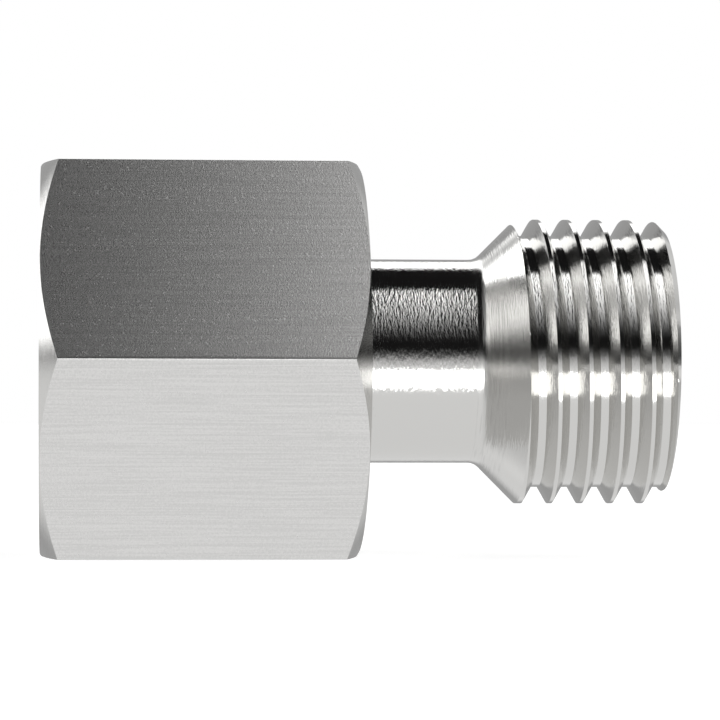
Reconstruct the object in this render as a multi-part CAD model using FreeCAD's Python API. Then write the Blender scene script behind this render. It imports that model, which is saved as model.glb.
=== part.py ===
import FreeCAD, Part
import math
import os

# Tube reducer for a 24 degree cone coupling: a turned body with a plain stub for the large tube
# size at one end and a male thread for the small tube size at the other, a cutting ring gripped
# on to the stub, and the union nut that turns freely behind the ring.
# Lengths are in millimetres and angles in degrees. X is the flow axis, from the tip of the stub
# at the origin to the threaded end. Z is up, and two flats of the nut lie level.
# The male thread has its true profile and pitch, as level grooves with no lead. The nut's bore
# is drawn at the minor diameter of its thread.

# Stub and neck of the body, one diameter from end to end
large_tube_diameter = 10.0
flow_bore_diameter = 6.0
bare_neck_length = 5.45

# Shoulder between the neck and the male thread
shoulder_angle = 45.0
shoulder_fillet_radius = 0.8

# Male thread for the small tube's nut
male_thread_diameter = 14.0
male_thread_pitch = 1.5
male_thread_length = 7.25
male_thread_lead_in = 0.5

# Socket for the small tube, with its 24 degree sealing cone
small_tube_diameter = 8.0
small_socket_clearance = 0.05
small_socket_depth = 7.0
cone_half_angle = 12.0
cone_mouth_wall = 1.15

# Cutting ring on the stub, and the groove that its front edge has bitten
ring_setback = 2.5
ring_length = 9.8
ring_nose_length = 3.4
ring_nose_wall = 0.4
ring_waist_length = 1.6
ring_bore_clearance = 0.02
ring_side_clearance = 0.75
ring_rear_wall = 0.53
ring_bite_depth = 0.2
ring_bite_length = 1.4

# Union nut
nut_across_flats = 19.0
nut_length = 15.5
nut_face_diameter = 18.9
nut_chamfer_angle = 30.0
nut_thread_diameter = 16.0
nut_thread_pitch = 1.5
nut_mouth_relief = 0.25
nut_undercut_length = 1.6
nut_undercut_relief = 0.1
nut_shoulder_angle = 45.0
nut_seat_clearance = 0.15
nut_bore_clearance = 0.1
nut_end_wall = 2.15

# Basic profile of a metric thread, as shares of the pitch, and how far its cuts overrun
thread_flank_angle = 30.0
thread_depth_share = 0.54127
crest_flat_share = 0.125
root_flat_share = 0.25
groove_overrun_share = 0.05

# Radii that follow from the sizes above
neck_radius = large_tube_diameter / 2
flow_radius = flow_bore_diameter / 2
male_radius = male_thread_diameter / 2
male_root_radius = male_radius - thread_depth_share * male_thread_pitch
socket_radius = small_tube_diameter / 2 + small_socket_clearance
cone_mouth_radius = male_root_radius - cone_mouth_wall
nut_major_radius = nut_thread_diameter / 2
nut_minor_radius = nut_major_radius - thread_depth_share * nut_thread_pitch
nut_undercut_radius = nut_major_radius + nut_undercut_relief
nut_mouth_radius = nut_major_radius + nut_mouth_relief
nut_rear_radius = neck_radius + nut_bore_clearance
ring_collar_radius = nut_minor_radius - ring_side_clearance
ring_bore_radius = neck_radius + ring_bore_clearance
ring_rear_radius = ring_bore_radius + ring_rear_wall

# Stations along the axis, chained from the stub's tip to the threaded end
seat_slope = math.tan(math.radians(nut_shoulder_angle))
ring_rear = ring_setback + ring_length
ring_chamfer_start = ring_rear - (ring_collar_radius - ring_rear_radius) / seat_slope
seat_at_collar = ring_chamfer_start + nut_seat_clearance
nut_undercut_end = seat_at_collar - (nut_undercut_radius - ring_collar_radius) / seat_slope
nut_thread_end = nut_undercut_end - nut_undercut_length
nut_shoulder_end = seat_at_collar + (ring_collar_radius - nut_rear_radius) / seat_slope
nut_rear = nut_shoulder_end + nut_end_wall
nut_front = nut_rear - nut_length
fillet_start = nut_rear + bare_neck_length
fillet_reach = shoulder_fillet_radius * math.tan(math.radians(shoulder_angle / 2))
cone_foot = fillet_start + fillet_reach
cone_slope = math.tan(math.radians(shoulder_angle))
cone_top = cone_foot + (male_radius - neck_radius) / cone_slope
body_end = cone_top + male_thread_length
socket_stop = body_end - small_socket_depth
cone_length = (cone_mouth_radius - socket_radius) / math.tan(math.radians(cone_half_angle))

origin = FreeCAD.Vector(0, 0, 0)
flow_axis = FreeCAD.Vector(1, 0, 0)


def station(along, radius):
    """The point at a place along the axis and a radius, on the side that faces up."""
    return FreeCAD.Vector(along, 0, radius)


def turned(edges):
    """Turn a closed chain of edges about the flow axis into a solid."""
    return Part.Face(Part.Wire(edges)).revolve(origin, flow_axis, 360)


def turned_outline(outline):
    """Turn a closed outline of straight runs, given as (along, radius) points, into a solid."""
    corners = [station(along, radius) for along, radius in outline]
    corners.append(corners[0])
    return turned(Part.makePolygon(corners).Edges)


def thread_grooves():
    """The rings to cut away for the male thread, one in each pitch, after a crest at the cone."""
    depth = (thread_depth_share + groove_overrun_share) * male_thread_pitch
    root_half = root_flat_share * male_thread_pitch / 2
    mouth_half = root_half + depth * math.tan(math.radians(thread_flank_angle))
    mouth_radius = male_root_radius + depth
    first_middle = cone_top + (1 + crest_flat_share) * male_thread_pitch / 2
    grooves = []
    for index in range(math.ceil(male_thread_length / male_thread_pitch)):
        middle = first_middle + index * male_thread_pitch
        grooves.append(
            turned_outline(
                [
                    (middle - mouth_half, mouth_radius),
                    (middle - root_half, male_root_radius),
                    (middle + root_half, male_root_radius),
                    (middle + mouth_half, mouth_radius),
                ]
            )
        )
    return grooves


def reducer_body():
    """The turned body: stub, bite, neck, filleted shoulder, male thread, and the stepped bore."""
    stub = [
        (0, flow_radius),
        (0, neck_radius),
        (ring_setback, neck_radius),
        (ring_setback, neck_radius - ring_bite_depth),
        (ring_setback + ring_bite_length - ring_bite_depth, neck_radius - ring_bite_depth),
        (ring_setback + ring_bite_length, neck_radius),
        (fillet_start, neck_radius),
    ]
    corners = [station(along, radius) for along, radius in stub]
    arc_points = [corners[-1]]
    for share in (0.5, 1):
        turn = math.radians(shoulder_angle * share)
        along = fillet_start + shoulder_fillet_radius * math.sin(turn)
        radius = neck_radius + shoulder_fillet_radius * (1 - math.cos(turn))
        arc_points.append(station(along, radius))
    threaded_end = [
        (cone_top, male_radius),
        (body_end - male_thread_lead_in, male_radius),
        (body_end, male_radius - male_thread_lead_in),
        (body_end, cone_mouth_radius),
        (body_end - cone_length, socket_radius),
        (socket_stop, socket_radius),
        (socket_stop, flow_radius),
        (0, flow_radius),
    ]
    end_corners = [arc_points[-1]] + [station(along, radius) for along, radius in threaded_end]
    edges = Part.makePolygon(corners).Edges
    edges.append(Part.Arc(*arc_points).toShape())
    edges.extend(Part.makePolygon(end_corners).Edges)
    return turned(edges).cut(thread_grooves())


def cutting_ring():
    """The hardened ring gripped on the stub: tapered nose, waist and rear collar."""
    nose_radius = ring_bore_radius + ring_nose_wall
    nose_end = ring_setback + ring_nose_length
    nose_end_radius = nose_radius + ring_nose_length * math.tan(math.radians(cone_half_angle))
    waist_end = nose_end + ring_waist_length
    collar_step = ring_collar_radius - nose_end_radius
    return turned_outline(
        [
            (ring_setback, ring_bore_radius),
            (ring_rear, ring_bore_radius),
            (ring_rear, ring_rear_radius),
            (ring_chamfer_start, ring_collar_radius),
            (waist_end + collar_step, ring_collar_radius),
            (waist_end, nose_end_radius),
            (nose_end, nose_end_radius),
            (ring_setback, nose_radius),
        ]
    )


def hexagon_bar():
    """The nut's hexagon, with a flat at the bottom and both ends chamfered to a round face."""
    corner_radius = nut_across_flats / math.sqrt(3)
    corners = []
    for corner in range(7):
        turn = math.radians(60 * corner)
        corners.append(
            FreeCAD.Vector(nut_front, corner_radius * math.cos(turn), corner_radius * math.sin(turn))
        )
    bar = Part.Face(Part.makePolygon(corners)).extrude(FreeCAD.Vector(nut_length, 0, 0))
    face_radius = nut_face_diameter / 2
    middle = (nut_front + nut_rear) / 2
    apex_radius = face_radius + nut_length / 2 / math.tan(math.radians(nut_chamfer_angle))
    chamfers = turned_outline(
        [
            (nut_front, 0),
            (nut_front, face_radius),
            (middle, apex_radius),
            (nut_rear, face_radius),
            (nut_rear, 0),
        ]
    )
    return bar.common(chamfers)


def union_nut():
    """The hexagon nut: countersunk mouth, thread bore, undercut, seat and rear bore."""
    bore = turned_outline(
        [
            (nut_front, 0),
            (nut_front, nut_mouth_radius),
            (nut_front + nut_mouth_radius - nut_minor_radius, nut_minor_radius),
            (nut_thread_end, nut_minor_radius),
            (nut_thread_end, nut_undercut_radius),
            (nut_undercut_end, nut_undercut_radius),
            (nut_shoulder_end, nut_rear_radius),
            (nut_rear, nut_rear_radius),
            (nut_rear, 0),
        ]
    )
    return hexagon_bar().cut(bore)


parts = {
    "reducer_body": reducer_body,
    "cutting_ring": cutting_ring,
    "union_nut": union_nut,
}

os.makedirs("parts", exist_ok=True)
for name, make in parts.items():
    solid = make().Solids[0]
    solid.exportStep("parts/" + name + ".step")
    print(name, solid.isValid(), round(solid.Volume, 2))
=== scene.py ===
import math

import bpy
import numpy as np
from bpy.props import FloatProperty, FloatVectorProperty, PointerProperty
from mathutils import Matrix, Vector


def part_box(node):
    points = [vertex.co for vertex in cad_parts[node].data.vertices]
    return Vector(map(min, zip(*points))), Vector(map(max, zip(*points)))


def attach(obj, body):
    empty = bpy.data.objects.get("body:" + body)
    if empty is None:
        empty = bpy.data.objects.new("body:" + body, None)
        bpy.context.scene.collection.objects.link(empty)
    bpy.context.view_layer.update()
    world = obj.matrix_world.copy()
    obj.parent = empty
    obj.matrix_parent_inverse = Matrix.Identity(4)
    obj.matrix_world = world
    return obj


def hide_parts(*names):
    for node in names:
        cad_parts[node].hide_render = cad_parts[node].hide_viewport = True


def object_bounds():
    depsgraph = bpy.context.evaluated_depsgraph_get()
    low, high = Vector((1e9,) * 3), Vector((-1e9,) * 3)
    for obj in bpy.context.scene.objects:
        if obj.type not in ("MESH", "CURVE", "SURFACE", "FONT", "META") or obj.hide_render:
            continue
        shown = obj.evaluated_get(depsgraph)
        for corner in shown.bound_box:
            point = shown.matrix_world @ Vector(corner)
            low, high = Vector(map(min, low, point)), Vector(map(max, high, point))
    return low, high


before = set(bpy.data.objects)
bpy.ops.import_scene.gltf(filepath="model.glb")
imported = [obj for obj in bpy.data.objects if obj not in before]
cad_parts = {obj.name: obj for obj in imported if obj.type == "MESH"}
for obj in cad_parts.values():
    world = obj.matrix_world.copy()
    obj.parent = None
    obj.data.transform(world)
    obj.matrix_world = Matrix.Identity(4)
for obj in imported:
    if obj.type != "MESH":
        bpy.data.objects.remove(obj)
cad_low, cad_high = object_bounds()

# Looks of a tube reducer: the turned body with its helical thread, the hexagon union nut with the
# thread inside it, and the cutting ring between them, all in bright stainless steel.

bl_info = {
    "name": "Tube Reducer",
    "version": (1, 0, 0),
    "blender": (4, 5, 0),
    "location": "View3D > Sidebar > Tube Reducer",
    "description": "A turned tube reducer with its cutting ring and union nut, in stainless steel",
    "category": "Add Mesh",
}

mm = 0.001
full_turn = 2 * math.pi
body_low, body_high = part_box("reducer_body")
nut_low, nut_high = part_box("union_nut")
ring_low, ring_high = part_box("cutting_ring")

# Shares of the pitch in the basic profile of a metric thread, and the slope of its flanks
thread_depth_share = 0.54127
sharp_flat_share = 0.125
blunt_flat_share = 0.25
flank_slope = math.tan(math.radians(30))

# Where the male thread's groove sinks in, in turns from the top of its first full one, and how far
# under the thread's root its rows start on the shoulder
sink_start = -0.42
sink_turns = 0.14
thread_run_in = 0.1 * mm

# Columns of the meshes round the axis, and how near a corner of the nut its own columns lie
body_columns = 288
ring_columns = 192
nut_side_columns = 30
nut_corner_columns = 5
nut_corner_reach = math.radians(1.2)

# Rows on the stretches of the profiles, and on the flanks and flats of a thread
edge_rows = 1
band_rows = 2
face_rows = 4
seat_rows = 6
neck_rows = 8
long_rows = 12
flank_rows = 6
flat_rows = 2

# Points nearer than the step are one, and an edge that bends by more than the angle is sharp
weld_step = 1e-8
sharp_angle = math.radians(24)

# Places of the finishes in each piece's list of materials
polished_neck, satin_shoulder, polished_thread, drilled_bore = range(4)
ground_flats, turned_ends, tapped_bore = range(3)
satin_ring = 0

# Outputs of the Texture Coordinate node: a direction in a world, and an object's own coordinates
direction_output = 0
object_output = 3

# Grey levels of the studio, as shares of its ceiling's. The middle has (height, level) pairs with
# the height round the flow axis in degrees, and the side walls have (z of the direction, level).
middle_levels = [
    (-180, 0.20),
    (-162, 0.20),
    (-152, 0.43),
    (-31, 0.445),
    (-8, 0.44),
    (-1, 0.30),
    (6, 0.06),
    (12, 0.004),
    (127, 0.004),
    (131, 1.0),
    (150, 1.0),
    (154, 0.20),
    (180, 0.20),
]
left_wall_levels = [
    (-1, 0.40),
    (-0.62, 0.38),
    (-0.5, 0.29),
    (-0.03, 0.28),
    (0.02, 0.08),
    (0.07, 0.0),
    (0.24, 0.0),
    (0.34, 0.9),
    (0.5, 1.0),
    (1, 1.0),
]
right_wall_levels = [
    (-1, 0.45),
    (-0.5, 0.36),
    (-0.25, 0.36),
    (-0.18, 0.29),
    (-0.12, 0.29),
    (-0.09, 0.48),
    (-0.035, 0.48),
    (-0.015, 0.09),
    (0.04, 0.03),
    (0.12, 0.075),
    (0.21, 0.19),
    (0.30, 0.75),
    (0.38, 1.0),
    (1, 1.0),
]


def length(name, default, description):
    """A length that a user may change, in metres."""
    return FloatProperty(
        name=name, default=default, description=description, min=0, unit="LENGTH", precision=6
    )


def share(name, default, description):
    """A number between 0 and 1 that a user may change."""
    return FloatProperty(
        name=name, default=default, description=description, min=0, max=1, subtype="FACTOR"
    )


def turn(name, default, description):
    """An angle that a user may change, given here in degrees."""
    return FloatProperty(
        name=name, default=math.radians(default), description=description, subtype="ANGLE"
    )


def colour(name, default, description):
    """A colour that a user may change."""
    return FloatVectorProperty(
        name=name, default=default, description=description, size=3, min=0, max=1, subtype="COLOR"
    )


class TubeReducerBodySizes(bpy.types.PropertyGroup):
    """Sizes of the turned body that the frame's boxes don't give."""

    neck_radius: length("Neck radius", 5 * mm, "Radius of the stub and the neck")
    flow_radius: length("Flow bore radius", 3 * mm, "Radius of the bore right through")
    tip_chamfer: length("Tip chamfer", 0.3 * mm, "Chamfer on both edges of the stub's tip")
    bite_depth: length("Bite depth", 0.2 * mm, "Depth of the groove that the ring has bitten")
    bite_length: length("Bite length", 1.4 * mm, "Length of the groove that the ring has bitten")
    bare_neck: length("Bare neck", 5.45 * mm, "Neck between the nut and the shoulder's fillet")
    fillet_radius: length("Fillet radius", 0.8 * mm, "Fillet between the neck and the shoulder")
    shoulder_angle: turn("Shoulder angle", 45, "Slope of the shoulder to the axis")
    thread_pitch: length("Thread pitch", 1.5 * mm, "Pitch of the male thread")
    thread_top: length("Thread place", 23.05 * mm, "Middle of the first groove, on the top side")
    lead_in: length("Lead-in", 0.5 * mm, "Chamfer on the threaded end")
    socket_radius: length("Socket radius", 4.05 * mm, "Radius of the small tube's socket")
    socket_depth: length("Socket depth", 7 * mm, "Depth of the small tube's socket")
    mouth_wall: length("Cone wall", 1.15 * mm, "Wall between the thread's root and the cone")
    cone_angle: turn("Cone angle", 12, "Half angle of the sealing cone")


class TubeReducerNutSizes(bpy.types.PropertyGroup):
    """Sizes of the union nut that the frame's boxes don't give."""

    face_radius: length("Face radius", 9.45 * mm, "Radius of the round faces at both ends")
    chamfer_angle: turn("Chamfer angle", 30, "Slope of the end chamfers to the faces")
    corner_radius: length("Corner radius", 0.12 * mm, "Rounding along the hexagon's six corners")
    thread_radius: length("Thread radius", 8 * mm, "Major radius of the thread")
    thread_pitch: length("Thread pitch", 1.5 * mm, "Pitch of the thread")
    thread_top: length("Thread place", 0.4 * mm, "Middle of a groove, on the top side")
    mouth_relief: length("Mouth relief", 0.25 * mm, "Countersink past the thread's major radius")
    undercut_start: length("Undercut start", 8.3 * mm, "End of the thread, from the stub's tip")
    undercut_relief: length("Undercut relief", 0.1 * mm, "Undercut past the thread's major radius")
    seat_start: length("Seat start", 9.9 * mm, "Start of the conical seat, from the stub's tip")
    rear_radius: length("Rear bore radius", 5.1 * mm, "Radius of the bore round the neck")
    rear_chamfer: length("Rear chamfer", 0.3 * mm, "Chamfer on the rear bore's edge")


class TubeReducerRingSizes(bpy.types.PropertyGroup):
    """Sizes of the cutting ring that the frame's boxes don't give."""

    bore_radius: length("Bore radius", 5.02 * mm, "Radius of the bore on the stub")
    nose_wall: length("Nose wall", 0.4 * mm, "Wall at the nose")
    nose_length: length("Nose length", 3.4 * mm, "Length of the tapered nose")
    waist_length: length("Waist length", 1.6 * mm, "Length of the waist")
    rear_wall: length("Rear wall", 0.53 * mm, "Wall at the rear face")
    taper: turn("Taper", 12, "Slope of the nose")


class TubeReducerFinish(bpy.types.PropertyGroup):
    """Colours and roughness of the steel."""

    steel: colour("Steel", (0.70, 0.695, 0.68), "Colour of the polished steel")
    ground: colour("Ground steel", (0.74, 0.735, 0.725), "Colour of the nut's ground flats")
    hardened: colour("Hardened steel", (0.55, 0.545, 0.53), "Colour of the cutting ring")
    polish: share("Polish roughness", 0.10, "Roughness of the neck and the thread")
    satin: share("Satin roughness", 0.15, "Roughness of the shoulder and the nut's turned ends")
    grind: share("Ground roughness", 0.235, "Roughness of the nut's flats")


class TubeReducerStage(bpy.types.PropertyGroup):
    """The camera's place and lens, and the floor."""

    camera_x: length("Camera along", 1.18 * mm, "Camera's place along the flow axis")
    camera_distance: length("Camera distance", 176.4 * mm, "Distance from the flow axis")
    camera_drop: length("Camera drop", 1.28 * mm, "How far below the flow axis the camera is")
    camera_yaw: turn("Camera yaw", 4.545, "Turn of the view to the right")
    camera_pitch: turn("Camera pitch", 0.43, "Tilt of the view upwards")
    camera_roll: turn("Camera roll", 0.143, "Clockwise turn of the picture")
    lens: FloatProperty(name="Lens", default=179.9, description="Focal length", unit="CAMERA")
    floor_size: length("Floor size", 1.2, "Length of the floor's sides")
    floor_colour: colour("Floor colour", (0.5, 0.5, 0.5), "Colour of the pale floor")
    floor_glow: share("Floor glow", 0.78, "Glow that turns the floor white for the camera alone")


class TubeReducerSettings(bpy.types.PropertyGroup):
    """All the settings, kept on the scene."""

    body: PointerProperty(type=TubeReducerBodySizes)
    nut: PointerProperty(type=TubeReducerNutSizes)
    ring: PointerProperty(type=TubeReducerRingSizes)
    finish: PointerProperty(type=TubeReducerFinish)
    stage: PointerProperty(type=TubeReducerStage)


class Wire:
    """A shader socket that Python's operators work on, each of which adds a Math node."""

    def __init__(self, net, socket):
        self.net = net
        self.socket = socket

    def math(self, operation, *others):
        return self.net.math(operation, self, *others)

    def __add__(self, other):
        return self.math("ADD", other)

    def __radd__(self, other):
        return self.math("ADD", other)

    def __sub__(self, other):
        return self.math("SUBTRACT", other)

    def __rsub__(self, other):
        return self.net.math("SUBTRACT", other, self)

    def __mul__(self, other):
        return self.math("MULTIPLY", other)

    def __rmul__(self, other):
        return self.math("MULTIPLY", other)

    def __truediv__(self, other):
        return self.math("DIVIDE", other)

    def __rtruediv__(self, other):
        return self.net.math("DIVIDE", other, self)

    def __neg__(self):
        return self.math("MULTIPLY", -1)


class Net:
    """The nodes of one material or world."""

    def __init__(self, tree):
        self.tree = tree
        tree.nodes.clear()

    def node(self, kind, settings=None, sockets=None, output=0):
        """Add a node, set its settings, then its sockets, and return a Wire of one output."""
        made = self.tree.nodes.new(kind)
        for name, value in (settings or {}).items():
            if name == "stops":
                self.set_stops(made.color_ramp, value)
            else:
                setattr(made, name, value)
        for name, value in (sockets or {}).items():
            if isinstance(value, Wire):
                self.tree.links.new(value.socket, made.inputs[name])
            else:
                made.inputs[name].default_value = value
        if not made.outputs:
            return None
        return Wire(self, made.outputs[output])

    def set_stops(self, ramp, stops):
        """Give a ramp its stops, as (place, grey level) pairs."""
        while len(ramp.elements) > 1:
            ramp.elements.remove(ramp.elements[-1])
        for index, (place, level) in enumerate(stops):
            element = ramp.elements[0] if index == 0 else ramp.elements.new(place)
            element.position = place
            element.color = (level, level, level, 1)

    def math(self, operation, *values):
        settings = {"operation": operation}
        return self.node("ShaderNodeMath", settings, dict(enumerate(values)))

    def smooth(self, value, start, end):
        """0 before start and 1 past end, with a smooth rise between them."""
        settings = {"interpolation_type": "SMOOTHSTEP"}
        sockets = {"Value": value, "From Min": start, "From Max": end}
        return self.node("ShaderNodeMapRange", settings, sockets)

    def band(self, value, start, full, fade, end):
        """1 between full and fade, and 0 before start and past end."""
        return self.smooth(value, start, full) * self.smooth(value, end, fade)

    def levels(self, value, pairs):
        """A level on straight lines between (value, level) pairs, the first and last the ends."""
        low, high = pairs[0][0], pairs[-1][0]
        stops = [((at - low) / (high - low), level) for at, level in pairs]
        place = (value - low) / (high - low)
        colour = self.node("ShaderNodeValToRGB", {"stops": stops}, {0: place})
        return self.node("ShaderNodeSeparateColor", None, {0: colour})

    def split(self, vector):
        """The three components of a vector."""
        return [self.node("ShaderNodeSeparateXYZ", None, {0: vector}, k) for k in range(3)]

    def join(self, x, y, z):
        return self.node("ShaderNodeCombineXYZ", None, {0: x, 1: y, 2: z})

    def noise(self, vector, scale, detail, roughness):
        """Noise between 0 and 1, with about scale features in one unit of the vector."""
        sockets = {"Vector": vector, "Scale": scale, "Detail": detail, "Roughness": roughness}
        return self.node("ShaderNodeTexNoise", None, sockets)

    def mix(self, factor, first, second):
        """A colour between two others."""
        settings = {"data_type": "RGBA"}
        return self.node("ShaderNodeMix", settings, {0: factor, 6: first, 7: second}, 2)

    def steel(self, tint, roughness, height, distance):
        """Close the net with a metal surface, whose height changes by up to the distance."""
        bump = {"Height": height, "Strength": 1, "Distance": distance}
        normal = self.node("ShaderNodeBump", None, bump)
        sockets = {"Base Color": tint, "Metallic": 1, "Roughness": roughness, "Normal": normal}
        self.close(self.node("ShaderNodeBsdfPrincipled", None, sockets))

    def close(self, surface):
        self.node("ShaderNodeOutputMaterial", None, {"Surface": surface})


def opaque(shade, factor=1):
    """A colour, times a factor, as the four numbers that a colour socket takes."""
    return (*[factor * part for part in shade], 1)


def new_material(name):
    """A new material and its empty net."""
    material = bpy.data.materials.new(name)
    material.use_nodes = True
    return material, Net(material.node_tree)


def turned_material(name, shade, roughness, sizes, slope, spread, valley_painted_shade=0.0):
    """Bright steel with tool marks round the flow axis, and painted shade in the marks' valleys.

    sizes are the marks' width and length, and slope is how steep their sides are. The marks are
    noise on the object's own coordinates in metres. Its first coordinate is x plus the distance
    from the axis, so it changes across the marks on a cylinder, a cone and a flat end alike.
    spread is how much the roughness varies. The last argument is how much painted shade darkens
    the marks' valleys, in place of the shade that falls in them.
    """
    width, reach = sizes
    blotches_per_metre = 1100
    # Colour of the painted shade in the marks' valleys, as a share of the steel's colour
    painted_shade_level = 0.55
    material, net = new_material(name)
    place = net.node("ShaderNodeTexCoord", output=object_output)
    x, y, z = net.split(place)
    distance = net.math("SQRT", y * y + z * z)
    drawn = net.join((x + distance) / width, y / reach, z / reach)
    marks = net.noise(drawn, 1, 2, 0.6)
    blotch = net.noise(place, blotches_per_metre, 2, 0.5)
    level = roughness + (marks - 0.5) * spread + (blotch - 0.5) * spread
    # Painted shade: the marks' valleys are mixed towards the darker copy of the steel's colour
    painted_shade_mask = net.smooth(marks, 0.5, 0.25)
    tint = net.mix(painted_shade_mask * valley_painted_shade, opaque(shade), opaque(shade, painted_shade_level))
    net.steel(tint, level, marks, slope * width)
    return material


def ground_material(name, shade, roughness):
    """Ground bar: faint lines along the flow axis, a fine grain, and flecks in bands.

    The lines are noise stretched along x, and the grain is finer noise, a little longer across
    the bar than along it. Flecks are the peaks of a third noise, closer together in wide bands
    along x, and they are rougher than the rest.
    """
    specks_per_metre = 6000
    relief = 0.012 * mm
    material, net = new_material(name)
    place = net.node("ShaderNodeTexCoord", output=object_output)
    x, y, z = net.split(place)

    def streaks(along, across, detail, small_share):
        """Noise whose features have these lengths along and across the bar."""
        return net.noise(net.join(x / along, y / across, z / across), 1, detail, small_share)

    lines = streaks(5 * mm, 0.11 * mm, 3, 0.6)
    grain = streaks(0.07 * mm, 0.12 * mm, 2, 0.6)
    bands = streaks(12 * mm, 0.6 * mm, 2, 0.5)
    specks = net.noise(place, specks_per_metre, 1, 0.5) + (bands - 0.5) * 0.35
    flecks = net.smooth(specks, 0.64, 0.80)
    height = lines * 0.3 + grain * 0.17 + flecks * 0.06
    level = roughness + (grain - 0.5) * 0.04 + flecks * 0.05
    light = net.smooth(lines * 0.55 + grain * 0.45, 0.38, 0.62)
    tint = net.mix(light, opaque(shade, 0.94), opaque(shade, 1.05))
    net.steel(tint, level, height, relief)
    return material


def around(count):
    """Angles of a full turn's columns, from straight up towards the camera's side and back."""
    return np.linspace(0, full_turn, count + 1)


def run(start, end, rows, columns, finish):
    """A block of a straight run between two (x, radius) points, in one finish.

    Row i is start + (end - start) * i / rows, for i from 0 to rows. A coordinate is one number,
    or one for each column.
    """
    steps = np.linspace(0, 1, rows + 1)[:, None]
    flat = np.ones(columns)
    x = start[0] * flat + (end[0] - start[0]) * flat * steps
    radius = start[1] * flat + (end[1] - start[1]) * flat * steps
    return x, radius, finish


def arc(centre, size, first, last, rows, columns, finish):
    """A block of a round run: centre + size * (sin, -cos) of angles from first to last."""
    angles = np.linspace(first, last, rows + 1)[:, None] * np.ones(columns)
    return centre[0] + size * np.sin(angles), centre[1] - size * np.cos(angles), finish


def lathe(name, blocks, angles, materials):
    """A closed mesh from blocks of rows that follow a loop of profile round the flow axis.

    A point of a row at angle a from straight up is (x, -radius sin a, radius cos a). Each block
    is (rows of x, rows of radius, finish). The last row joins the first. The last column lies on
    the first, where a helical row meets another row than its own. Points that meet are welded,
    and a cell that a weld leaves without an area is dropped.
    """
    x = np.concatenate([block[0] for block in blocks])
    radius = np.concatenate([block[1] for block in blocks])
    finish = np.concatenate([np.full(len(block[0]), block[2]) for block in blocks])
    rows, columns = x.shape
    points = np.stack([x, -radius * np.sin(angles), radius * np.cos(angles)], axis=-1)
    points = points.reshape(-1, 3)
    keys = np.round(points / weld_step).astype(np.int64)
    _, first, inverse = np.unique(keys, axis=0, return_index=True, return_inverse=True)
    corner = inverse.reshape(rows, columns)
    below = np.roll(corner, -1, axis=0)
    around_cell = [corner[:, :-1], corner[:, 1:], below[:, 1:], below[:, :-1]]
    cells = np.stack(around_cell, axis=-1).reshape(-1, 4)
    cell_finish = np.repeat(finish, columns - 1)
    repeated = cells == np.roll(cells, -1, axis=1)
    crossed = (cells[:, 0] == cells[:, 2]) | (cells[:, 1] == cells[:, 3])
    whole = ~repeated.any(axis=1) & ~crossed
    folded = (repeated.sum(axis=1) == 1) & ~crossed
    triangles = cells[folded][~repeated[folded]].reshape(-1, 3)
    indices = np.concatenate([cell_finish[whole], cell_finish[folded]]).astype(np.int32)
    mesh = bpy.data.meshes.new(name)
    mesh.from_pydata(points[first].tolist(), [], cells[whole].tolist() + triangles.tolist())
    for material in materials:
        mesh.materials.append(material)
    mesh.polygons.foreach_set("material_index", indices)
    mesh.shade_smooth()
    mesh.set_sharp_from_angle(angle=sharp_angle)
    mesh.validate()
    mesh.update()
    piece = bpy.data.objects.new(name, mesh)
    bpy.context.scene.collection.objects.link(piece)
    return piece


def groove_rows(top, pitch, low, high, root_share, crest_share, extra, angles):
    """Rows of x for a threaded stretch, which follow the edges of its helical groove.

    At angle a the groove's middles are at top + pitch * (a / full turn + whole number). The rows
    stand at fixed distances from them, with extra rows at fixed x, all kept within low and high
    and sorted along each column.
    """
    root = root_share * pitch / 2
    crest = (1 - crest_share) * pitch / 2
    offsets = np.concatenate(
        [
            np.linspace(-root, root, flat_rows, endpoint=False),
            np.linspace(root, crest, flank_rows, endpoint=False),
            np.linspace(crest, pitch - crest, flat_rows, endpoint=False),
            np.linspace(pitch - crest, pitch - root, flank_rows, endpoint=False),
        ]
    )
    turns = np.arange(math.floor((low - top) / pitch) - 2, math.ceil((high - top) / pitch) + 1)
    middles = top + pitch * (angles / full_turn)
    rows = (turns[:, None] * pitch + offsets).reshape(-1, 1) + middles
    fixed = np.asarray([low, *extra, high])[:, None] * np.ones(len(angles))
    return np.sort(np.clip(np.concatenate([rows, fixed]), low, high), axis=0)


def groove_radius(x, top, pitch, root_radius, root_share, outward, angles, fade=None):
    """Radius of the helical groove's surface at x for each column.

    It is root_radius + outward * (distance from the groove's middle - half its flat) / slope of
    the flank, and never beyond the flat. fade gives how far the groove has sunk in at each
    place along its helix, in turns from the top of the first one.
    """
    travel = (x - top) / pitch - angles / full_turn
    nearest = np.rint(travel)
    gap = np.abs(travel - nearest) * pitch
    rise = np.maximum(gap - root_share * pitch / 2, 0) / flank_slope
    if fade is not None:
        rise = rise + (1 - fade(nearest + angles / full_turn)) * pitch
    return root_radius + outward * rise


def snapped(x, difference):
    """Rows moved so that one lies where difference(x) changes sign between two of them.

    The place is found as on a straight line, and the nearer row of the two goes there.
    """
    value = difference(x)
    low, high = value[:-1], value[1:]
    flips = low * high < 0
    part = np.where(flips, low / np.where(flips, low - high, 1), 0)
    place = x[:-1] + part * (x[1:] - x[:-1])
    moved = x.copy()
    moved[:-1] = np.where(flips & (part < 0.5), place, moved[:-1])
    moved[1:] = np.where(flips & (part >= 0.5), place, moved[1:])
    return np.sort(moved, axis=0)


def sunk(turns):
    """How far the male thread's groove has sunk in, as a smooth rise from 0 to 1 in turns."""
    rise = np.clip((turns - sink_start) / sink_turns, 0, 1)
    return rise * rise * (3 - 2 * rise)


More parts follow.
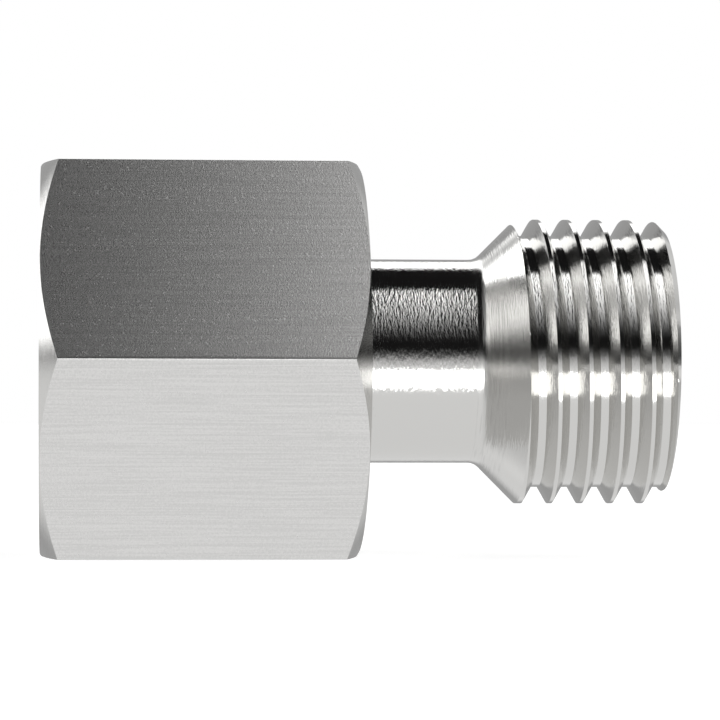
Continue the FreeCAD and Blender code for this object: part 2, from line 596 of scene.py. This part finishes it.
def body_blocks(sizes, angles):
    """The turned body's profile, from the stub's tip along the outside and back by the bore.

    The thread's rows have the smaller of the blank's radius and the groove's. The groove sinks in
    over a part of a turn on the far side, before the first groove that shows.
    """
    columns = len(angles)
    neck = sizes.neck_radius
    flow = sizes.flow_radius
    tip = sizes.tip_chamfer
    bite = ring_low.x
    bite_end = bite + sizes.bite_length
    bite_foot = bite_end - sizes.bite_depth
    bitten = neck - sizes.bite_depth
    crest = body_high.z
    end = body_high.x
    pitch = sizes.thread_pitch
    root = crest - thread_depth_share * pitch
    slope = math.tan(sizes.shoulder_angle)
    fillet = sizes.fillet_radius
    fillet_start = nut_high.x + sizes.bare_neck
    fillet_reach = fillet * math.tan(sizes.shoulder_angle / 2)
    fillet_end_x = fillet_start + fillet * math.sin(sizes.shoulder_angle)
    fillet_end_radius = neck + fillet * (1 - math.cos(sizes.shoulder_angle))
    shoulder_top = fillet_start + fillet_reach + (crest - neck) / slope
    thread_start = shoulder_top - (crest - root + thread_run_in) / slope
    lead_start = end - sizes.lead_in
    socket = sizes.socket_radius
    mouth = root - sizes.mouth_wall
    cone_end = end - (mouth - socket) / math.tan(sizes.cone_angle)
    stop = end - sizes.socket_depth
    blank_x = [fillet_end_x, shoulder_top, lead_start, end]
    blank_radius = [fillet_end_radius, crest, crest, crest - sizes.lead_in]

    def blank(x):
        return np.interp(x, blank_x, blank_radius)

    def groove(x):
        return groove_radius(x, sizes.thread_top, pitch, root, blunt_flat_share, 1, angles, sunk)

    rows = groove_rows(
        sizes.thread_top,
        pitch,
        thread_start,
        end,
        blunt_flat_share,
        sharp_flat_share,
        [shoulder_top, lead_start],
        angles,
    )
    rows = snapped(rows, lambda x: blank(x) - groove(x))
    radius = np.minimum(blank(rows), groove(rows))
    fillet_centre = (fillet_start, neck + fillet)
    fillet_end = (fillet_end_x, fillet_end_radius)
    shoulder_end = (thread_start, blank(thread_start))
    return [
        run((0, flow + tip), (0, neck - tip), face_rows, columns, satin_shoulder),
        run((0, neck - tip), (tip, neck), edge_rows, columns, satin_shoulder),
        run((tip, neck), (bite, neck), band_rows, columns, polished_neck),
        run((bite, neck), (bite, bitten), edge_rows, columns, polished_neck),
        run((bite, bitten), (bite_foot, bitten), edge_rows, columns, polished_neck),
        run((bite_foot, bitten), (bite_end, neck), edge_rows, columns, polished_neck),
        run((bite_end, neck), (fillet_start, neck), neck_rows, columns, polished_neck),
        arc(fillet_centre, fillet, 0, sizes.shoulder_angle, neck_rows, columns, satin_shoulder),
        run(fillet_end, shoulder_end, face_rows, columns, satin_shoulder),
        (rows, radius, polished_thread),
        run((end, radius[-1]), (end, mouth), face_rows, columns, satin_shoulder),
        run((end, mouth), (cone_end, socket), long_rows, columns, satin_shoulder),
        run((cone_end, socket), (stop, socket), band_rows, columns, drilled_bore),
        run((stop, socket), (stop, flow), band_rows, columns, drilled_bore),
        run((stop, flow), (tip, flow), long_rows, columns, drilled_bore),
        run((tip, flow), (0, flow + tip), edge_rows, columns, satin_shoulder),
    ]


def hexagon_angles():
    """Angles of the nut's columns, closer together round its six corners.

    Straight up is the middle of a flat, so the corners are at 30 degrees and every 60 from there.
    """
    half = math.pi / 6
    near = half - nut_corner_reach
    side = np.linspace(-near, near, nut_side_columns)
    corner = np.linspace(near, half + nut_corner_reach, nut_corner_columns + 2)[1:-1]
    sixth = np.concatenate([side, corner])
    columns = (np.arange(6)[:, None] * 2 * half + sixth).reshape(-1)
    return np.append(columns, columns[0] + full_turn)


def hexagon_radius(angles, flat, rounding):
    """Distance from the axis to a hexagon with rounded corners, at each angle.

    It is flat / cos(angle from the flat's middle), and within a corner the far crossing with a
    circle of the rounding's radius whose centre lies on the corner's line.
    """
    half = math.pi / 6
    off_flat = np.mod(angles + half, 2 * half) - half
    off_corner = half - np.abs(off_flat)
    centre = (flat - rounding) / math.cos(half)
    straight = flat / np.cos(off_flat)
    inside = np.maximum(rounding**2 - (centre * np.sin(off_corner)) ** 2, 0)
    rounded = centre * np.cos(off_corner) + np.sqrt(inside)
    tangent = half - math.atan((flat - rounding) * math.tan(half) / flat)
    return np.where(off_corner < tangent, rounded, straight)


def nut_blocks(sizes, angles):
    """The nut's profile, from its mouth along the outside and back through the bore.

    The hexagon's radius changes with the angle. A chamfer climbs from the round face to it by
    (radius - face radius) * tan(chamfer angle). Inside, the thread's rows have the larger of the
    plain bore's radius and the groove's.
    """
    columns = len(angles)
    front = nut_low.x
    rear = nut_high.x
    face = sizes.face_radius
    hexagon = hexagon_radius(angles, nut_high.z, sizes.corner_radius)
    climb = np.maximum(hexagon - face, 0) * math.tan(sizes.chamfer_angle)
    major = sizes.thread_radius
    pitch = sizes.thread_pitch
    minor = major - thread_depth_share * pitch
    mouth = major + sizes.mouth_relief
    mouth_end = front + mouth - minor
    under = major + sizes.undercut_relief
    under_start = sizes.undercut_start
    seat_start = sizes.seat_start
    rear_bore = sizes.rear_radius
    seat_end = seat_start + under - rear_bore
    rear_edge = (rear, rear_bore + sizes.rear_chamfer)
    rear_start = (rear - sizes.rear_chamfer, rear_bore)

    def bore(x):
        return np.interp(x, [front, mouth_end, under_start], [mouth, minor, minor])

    def groove(x):
        return groove_radius(x, sizes.thread_top, pitch, major, sharp_flat_share, -1, angles)

    rows = groove_rows(
        sizes.thread_top,
        pitch,
        front,
        under_start,
        sharp_flat_share,
        blunt_flat_share,
        [mouth_end],
        angles,
    )
    rows = snapped(rows, lambda x: bore(x) - groove(x))
    radius = np.maximum(bore(rows), groove(rows))
    return [
        run((front, radius[0]), (front, face), face_rows, columns, turned_ends),
        run((front, face), (front + climb, hexagon), face_rows, columns, turned_ends),
        run((front + climb, hexagon), (rear - climb, hexagon), long_rows, columns, ground_flats),
        run((rear - climb, hexagon), (rear, face), face_rows, columns, turned_ends),
        run((rear, face), rear_edge, seat_rows, columns, turned_ends),
        run(rear_edge, rear_start, edge_rows, columns, turned_ends),
        run(rear_start, (seat_end, rear_bore), band_rows, columns, tapped_bore),
        run((seat_end, rear_bore), (seat_start, under), seat_rows, columns, tapped_bore),
        run((seat_start, under), (under_start, under), band_rows, columns, tapped_bore),
        run((under_start, under), (under_start, radius[-1]), edge_rows, columns, tapped_bore),
        (rows[::-1], radius[::-1], tapped_bore),
    ]


def ring_blocks(sizes, angles):
    """The cutting ring's profile, from the nose along the outside and back through the bore."""
    columns = len(angles)
    front = ring_low.x
    rear = ring_high.x
    collar = ring_high.z
    bore = sizes.bore_radius
    nose = bore + sizes.nose_wall
    nose_end = front + sizes.nose_length
    nose_end_radius = nose + sizes.nose_length * math.tan(sizes.taper)
    waist_end = nose_end + sizes.waist_length
    rear_radius = bore + sizes.rear_wall
    corners = [
        (front, bore),
        (front, nose),
        (nose_end, nose_end_radius),
        (waist_end, nose_end_radius),
        (waist_end + collar - nose_end_radius, collar),
        (rear - (collar - rear_radius), collar),
        (rear, rear_radius),
        (rear, bore),
    ]
    sides = zip(corners, corners[1:] + corners[:1])
    return [run(start, end, face_rows, columns, satin_ring) for start, end in sides]


def settings():
    """The settings kept on the scene."""
    return bpy.context.scene.tube_reducer


class TUBEREDUCER_OT_body(bpy.types.Operator):
    """Make the turned body with its helical thread"""

    bl_idname = "tube_reducer.body"
    bl_label = "Turned Body"

    def execute(self, context):
        finish = settings().finish
        steel, polish, satin = finish.steel, finish.polish, finish.satin
        dashes = (0.11 * mm, 0.34 * mm)
        coarse = (0.13 * mm, 0.6 * mm)
        fine = (0.09 * mm, 1.6 * mm)
        # The shoulder's and the bore's finishes darken their marks' valleys with painted shade
        materials = [
            turned_material("polished_neck", steel, polish, dashes, slope=0.125, spread=0.03),
            turned_material(
                "satin_shoulder", steel, satin, fine, slope=0.10, spread=0.06, valley_painted_shade=0.25
            ),
            turned_material("polished_thread", steel, polish, coarse, slope=0.06, spread=0.03),
            turned_material("drilled_bore", steel, satin, fine, slope=0.15, spread=0.10, valley_painted_shade=0.4),
        ]
        angles = around(body_columns)
        piece = lathe("turned_reducer", body_blocks(settings().body, angles), angles, materials)
        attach(piece, "reducer")
        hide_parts("reducer_body")
        return {"FINISHED"}


class TUBEREDUCER_OT_ring(bpy.types.Operator):
    """Make the cutting ring on the stub"""

    bl_idname = "tube_reducer.ring"
    bl_label = "Cutting Ring"

    def execute(self, context):
        finish = settings().finish
        steel, satin = finish.hardened, finish.satin
        fine = (0.09 * mm, 1.6 * mm)
        # The ring's finish darkens its marks' valleys with painted shade
        materials = [
            turned_material("hardened_ring", steel, satin, fine, slope=0.15, spread=0.10, valley_painted_shade=0.3)
        ]
        angles = around(ring_columns)
        piece = lathe("satin_cutting_ring", ring_blocks(settings().ring, angles), angles, materials)
        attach(piece, "reducer")
        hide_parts("cutting_ring")
        return {"FINISHED"}


class TUBEREDUCER_OT_nut(bpy.types.Operator):
    """Make the hexagon union nut with the thread inside it"""

    bl_idname = "tube_reducer.nut"
    bl_label = "Union Nut"

    def execute(self, context):
        finish = settings().finish
        steel, satin = finish.steel, finish.satin
        fine = (0.08 * mm, 2.5 * mm)
        # The turned ends and the tapped bore darken their marks' valleys with painted shade
        materials = [
            ground_material("ground_flats", finish.ground, finish.grind),
            turned_material("turned_ends", steel, satin, fine, slope=0.10, spread=0.08, valley_painted_shade=0.1),
            turned_material("tapped_bore", steel, satin, fine, slope=0.15, spread=0.10, valley_painted_shade=0.4),
        ]
        angles = hexagon_angles()
        piece = lathe("ground_union_nut", nut_blocks(settings().nut, angles), angles, materials)
        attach(piece, "nut")
        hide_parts("union_nut")
        return {"FINISHED"}


def studio_level(net, direction):
    """The studio's grey level in each direction.

    e is the direction's height round the flow axis in degrees: 0 is level towards the camera, 90
    overhead and 180 level behind, and it is negative below. The middle follows e: a pale floor, a
    black gap above the camera, a white ceiling behind and a grey backdrop under it. Walls at the
    two sides follow z. The black gap goes on into both walls, the left one is bright again behind
    it, and a part of the ceiling on the left is shaded. The right wall is darker behind, and in
    front near the middle. A panel at the right brightens the black gap, and a lamp stands low in
    front.
    """
    left_gap_depth = 0.85
    right_gap_depth = 0.95
    rear_right_depth = 0.6
    corner_depth = 0.6
    shade_depth = 0.7
    rear_floor_level = 0.14
    panel_level = 0.95
    lamp_level = 1.2
    ceiling_level = 1.9
    x, y, z = net.split(direction)
    e = net.math("ARCTAN2", z, -y) * (180 / math.pi)
    left = net.smooth(-x, 0.40, 0.62)
    right = net.smooth(x, 0.35, 0.55)
    left_gap = net.band(e, 0, 12, 112, 118) * net.smooth(-x, 0.86, 0.74)
    right_gap = net.band(e, 104, 109, 116, 120)
    rear_left = net.smooth(e, 116, 124) * net.smooth(z, 0.03, 0.06)
    rear_floor = net.smooth(e, -120, -140) * net.smooth(z, 0.03, 0.0)
    rear_right = right * net.smooth(e, 112, 130) * net.smooth(z, 0.22, 0.32)
    corner = net.smooth(y, 0.05, -0.05) * net.smooth(x, 0.74, 0.68) * net.smooth(z, 0.18, 0.28)
    shade = net.band(e, 134, 142, 157, 160) * net.smooth(-x, 0.25, 0.45)
    panel = net.band(x, 0.085, 0.14, 0.45, 0.62) * net.band(e, 20, 84, 85, 90)
    lamp = net.band(e, -32, -31, -11, -10) * net.smooth(x, -0.58, -0.50)
    left_wall = net.levels(z, left_wall_levels) * (1 - left_gap * left_gap_depth)
    left_wall = left_wall + rear_left + rear_floor * rear_floor_level
    right_wall = net.levels(z, right_wall_levels) * (1 - rear_right * rear_right_depth)
    right_wall = right_wall * (1 - right_gap * right_gap_depth) * (1 - corner * corner_depth)
    middle = net.levels(e, middle_levels) * (1 - left - right)
    walls = (left * left_wall + right * right_wall + middle) * (1 - shade * shade_depth)
    return (walls + panel * panel_level + (1 - right) * lamp * lamp_level) * ceiling_level


def studio_world():
    """A world of the studio's grey levels, seen in the steel, while the camera sees white."""
    world = bpy.data.worlds.new("studio")
    world.use_nodes = True
    bpy.context.scene.world = world
    net = Net(world.node_tree)
    level = studio_level(net, net.node("ShaderNodeTexCoord", output=direction_output))
    seen = net.node("ShaderNodeLightPath")
    shown = seen + (1 - seen) * level
    grey = net.node("ShaderNodeCombineColor", None, {0: shown, 1: shown, 2: shown})
    background = net.node("ShaderNodeBackground", None, {"Color": grey, "Strength": 1.0})
    net.node("ShaderNodeOutputWorld", None, {"Surface": background})


def studio_floor(stage):
    """A pale floor under the part, which the camera sees white with a faint shadow."""
    half = stage.floor_size / 2
    low = cad_low.z
    mesh = bpy.data.meshes.new("studio_floor")
    corners = [(-half, -half, low), (half, -half, low), (half, half, low), (-half, half, low)]
    mesh.from_pydata(corners, [], [(0, 1, 2, 3)])
    floor = bpy.data.objects.new("studio_floor", mesh)
    bpy.context.scene.collection.objects.link(floor)
    material, net = new_material("pale_floor")
    glow = net.node("ShaderNodeLightPath") * stage.floor_glow
    matt = net.node("ShaderNodeBsdfDiffuse", None, {"Color": opaque(stage.floor_colour)})
    light = net.node("ShaderNodeEmission", None, {"Color": (1, 1, 1, 1), "Strength": glow})
    net.close(net.node("ShaderNodeAddShader", None, {0: matt, 1: light}))
    mesh.materials.append(material)
    floor.visible_glossy = False
    floor.visible_shadow = False


def studio_camera(stage):
    """The camera, from its place and the turns of its view."""
    yaw, pitch, roll = stage.camera_yaw, stage.camera_pitch, stage.camera_roll
    ahead = np.array(
        [math.sin(yaw) * math.cos(pitch), math.cos(yaw) * math.cos(pitch), math.sin(pitch)]
    )
    level = np.array([math.cos(yaw), -math.sin(yaw), 0])
    upright = np.cross(level, ahead)
    right = math.cos(roll) * level + math.sin(roll) * upright
    up = math.cos(roll) * upright - math.sin(roll) * level
    place = [stage.camera_x, -stage.camera_distance, -stage.camera_drop]
    rows = [[right[k], up[k], -ahead[k], place[k]] for k in range(3)]
    camera = bpy.data.objects.new("camera", bpy.data.cameras.new("camera"))
    bpy.context.scene.collection.objects.link(camera)
    camera.data.sensor_width = 36
    camera.data.lens = stage.lens
    camera.data.clip_start = 1 * mm
    camera.matrix_world = Matrix([*rows, [0, 0, 0, 1]])
    bpy.context.scene.camera = camera


class TUBEREDUCER_OT_stage(bpy.types.Operator):
    """Make the studio: its light, the floor and the camera"""

    bl_idname = "tube_reducer.stage"
    bl_label = "Studio"

    def execute(self, context):
        stage = settings().stage
        studio_world()
        studio_floor(stage)
        studio_camera(stage)
        context.scene.view_settings.view_transform = "Standard"
        return {"FINISHED"}


class TUBEREDUCER_PT_sidebar(bpy.types.Panel):
    """The tube reducer's operators and settings"""

    bl_idname = "TUBEREDUCER_PT_sidebar"
    bl_label = "Tube Reducer"
    bl_space_type = "VIEW_3D"
    bl_region_type = "UI"
    bl_category = "Tube Reducer"

    def draw(self, context):
        kept = settings()
        for operator in operators:
            self.layout.operator(operator.bl_idname)
        for group in (kept.body, kept.nut, kept.ring, kept.finish, kept.stage):
            for name in group.__annotations__:
                self.layout.prop(group, name)


operators = [
    TUBEREDUCER_OT_body,
    TUBEREDUCER_OT_ring,
    TUBEREDUCER_OT_nut,
    TUBEREDUCER_OT_stage,
]
classes = [
    TubeReducerBodySizes,
    TubeReducerNutSizes,
    TubeReducerRingSizes,
    TubeReducerFinish,
    TubeReducerStage,
    TubeReducerSettings,
    *operators,
    TUBEREDUCER_PT_sidebar,
]


def register():
    for made in classes:
        bpy.utils.register_class(made)
    bpy.types.Scene.tube_reducer = PointerProperty(type=TubeReducerSettings)


def unregister():
    del bpy.types.Scene.tube_reducer
    for made in reversed(classes):
        bpy.utils.unregister_class(made)


def main():
    """Make every piece and the stage."""
    register()
    bpy.ops.tube_reducer.body()
    bpy.ops.tube_reducer.ring()
    bpy.ops.tube_reducer.nut()
    bpy.ops.tube_reducer.stage()


if __name__ == "__main__":
    main()
